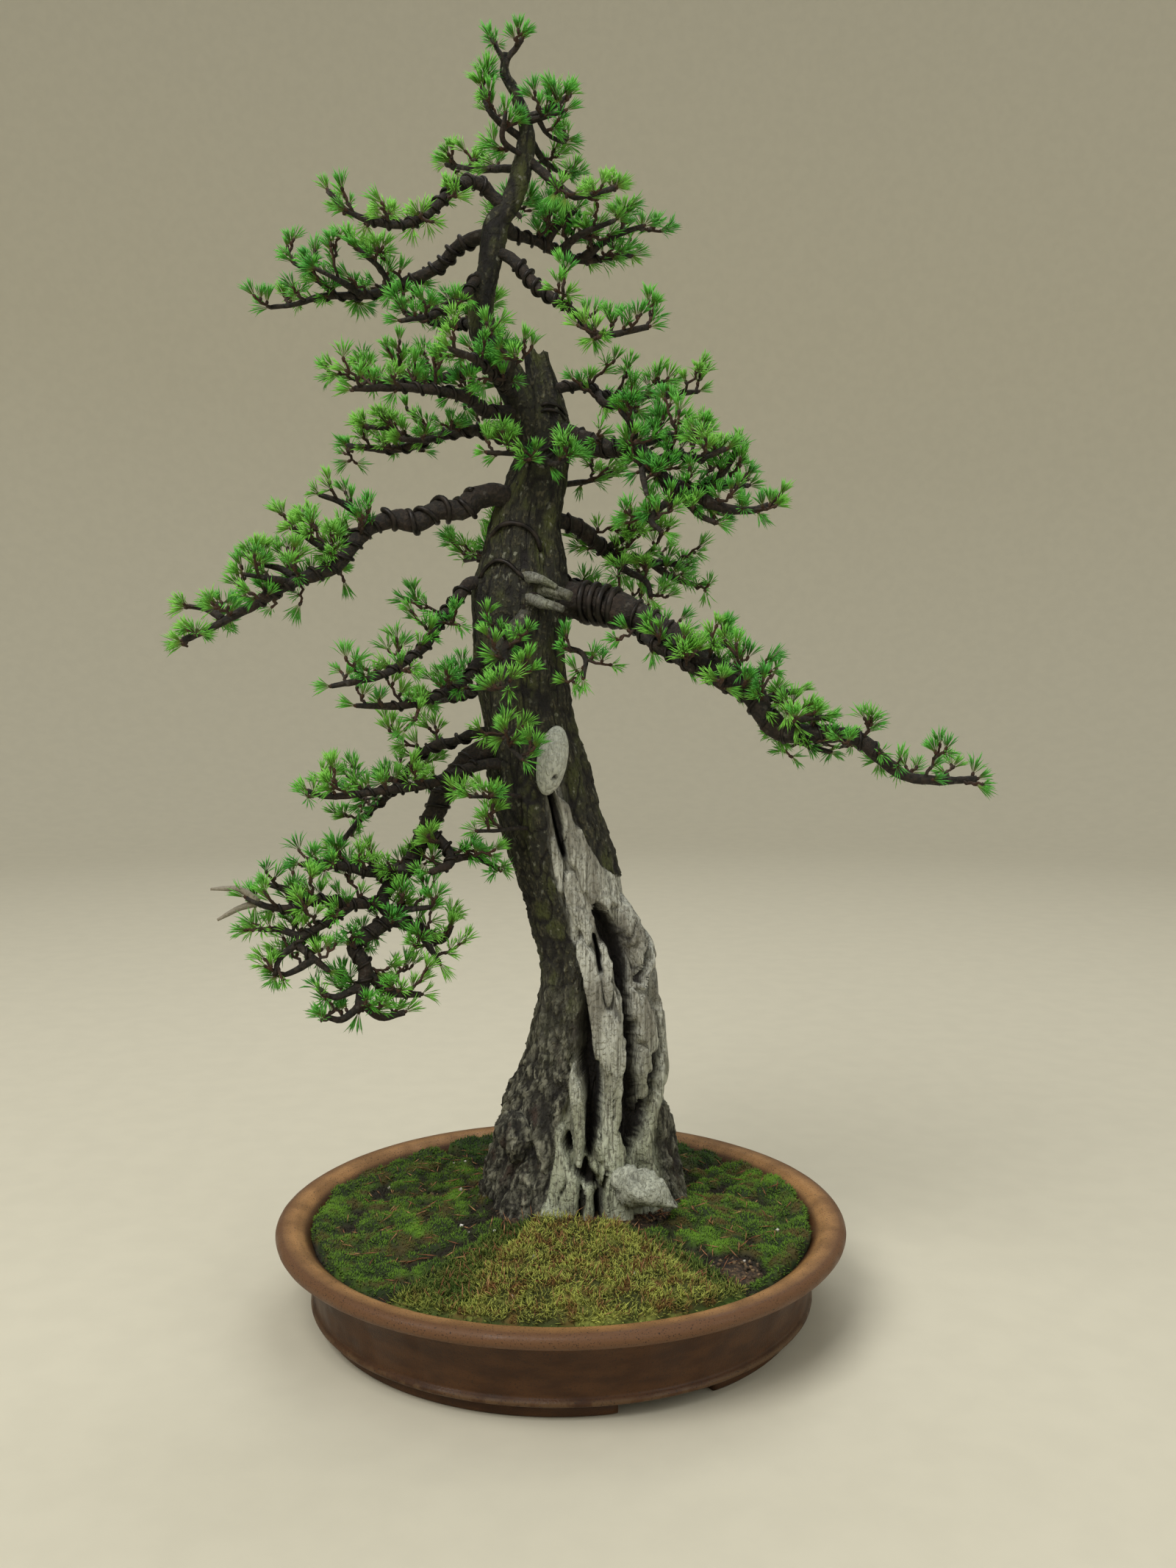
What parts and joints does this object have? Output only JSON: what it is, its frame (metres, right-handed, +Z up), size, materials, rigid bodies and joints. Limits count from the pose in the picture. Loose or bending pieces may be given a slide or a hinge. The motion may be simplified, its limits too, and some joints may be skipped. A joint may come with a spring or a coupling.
{
  "type": "tamarack bonsai in a round pot",
  "caption": "Small trained larch with a leaning, half-bleached trunk, wired branches with tufts of soft needles, and moss on the soil of a shallow round brown pot.",
  "frame": {"origin": "middle of the whole tree's and pot's box, on the surface that the pot's feet stand on", "axes": "+Z up, +X to the right and -Y towards the viewer, as the tree is shown from its front"},
  "size_m": [0.5248, 0.38, 0.8364],
  "materials": {
    "pot": "matt brown glaze on stoneware",
    "soil": "dark crumbly soil",
    "bark": "flaky bark and bleached bare wood",
    "foliage": "soft green needles on brown twigs",
    "wire": "dark anodised wire",
    "screen": "black plastic mesh",
    "moss_gold": "golden feathery moss",
    "moss_green": "green cushion moss",
    "moss_dark": "dark green moss"
  },
  "bodies": {
    "root": {"pot": "pot", "soil": "soil", "trunk": "bark", "drain_screen_1": "screen", "drain_screen_2": "screen", "drain_screen_3": "screen", "drain_clip_1": "wire", "drain_clip_2": "wire", "drain_clip_3": "wire", "branch_top_left": "foliage", "branch_top_right": "foliage", "branch_apex_left": "foliage", "branch_apex_right": "foliage", "branch_crown_back_right": "foliage", "branch_crown_back_left": "foliage", "branch_crown_right": "foliage", "branch_crown_left": "foliage", "branch_crown_back": "foliage", "branch_upper_right_back": "foliage", "branch_upper_right_front": "foliage", "branch_upper_left": "foliage", "branch_upper_left_front": "foliage", "branch_upper_back": "foliage", "branch_upper_left_back": "foliage", "branch_shoulder_left": "foliage", "branch_shoulder_front": "foliage", "branch_shoulder_right": "foliage", "branch_middle_back": "foliage", "branch_middle_left_high": "foliage", "branch_middle_left_low": "foliage", "branch_middle_right": "foliage", "branch_twig_right": "foliage", "branch_left_long": "foliage", "branch_right_high": "foliage", "branch_low_back": "foliage", "branch_right_back": "foliage", "branch_right_long": "foliage", "branch_left_front_high": "foliage", "branch_front": "foliage", "branch_twig_right_low": "foliage", "branch_left_front_low": "foliage", "branch_lower_back": "foliage", "branch_front_low": "foliage", "branch_low_left_back": "foliage", "branch_low_left_front": "foliage", "branch_lowest_left": "foliage", "branch_twig_front_high": "foliage", "branch_twig_front_low": "foliage", "wire_upper_right_front": "wire", "wire_upper_left": "wire", "wire_left_long": "wire", "wire_right_long": "wire", "moss_mound": "moss_gold", "moss_right": "moss_green", "moss_back": "moss_dark", "moss_left": "moss_green"}
  },
  "joints": []
}
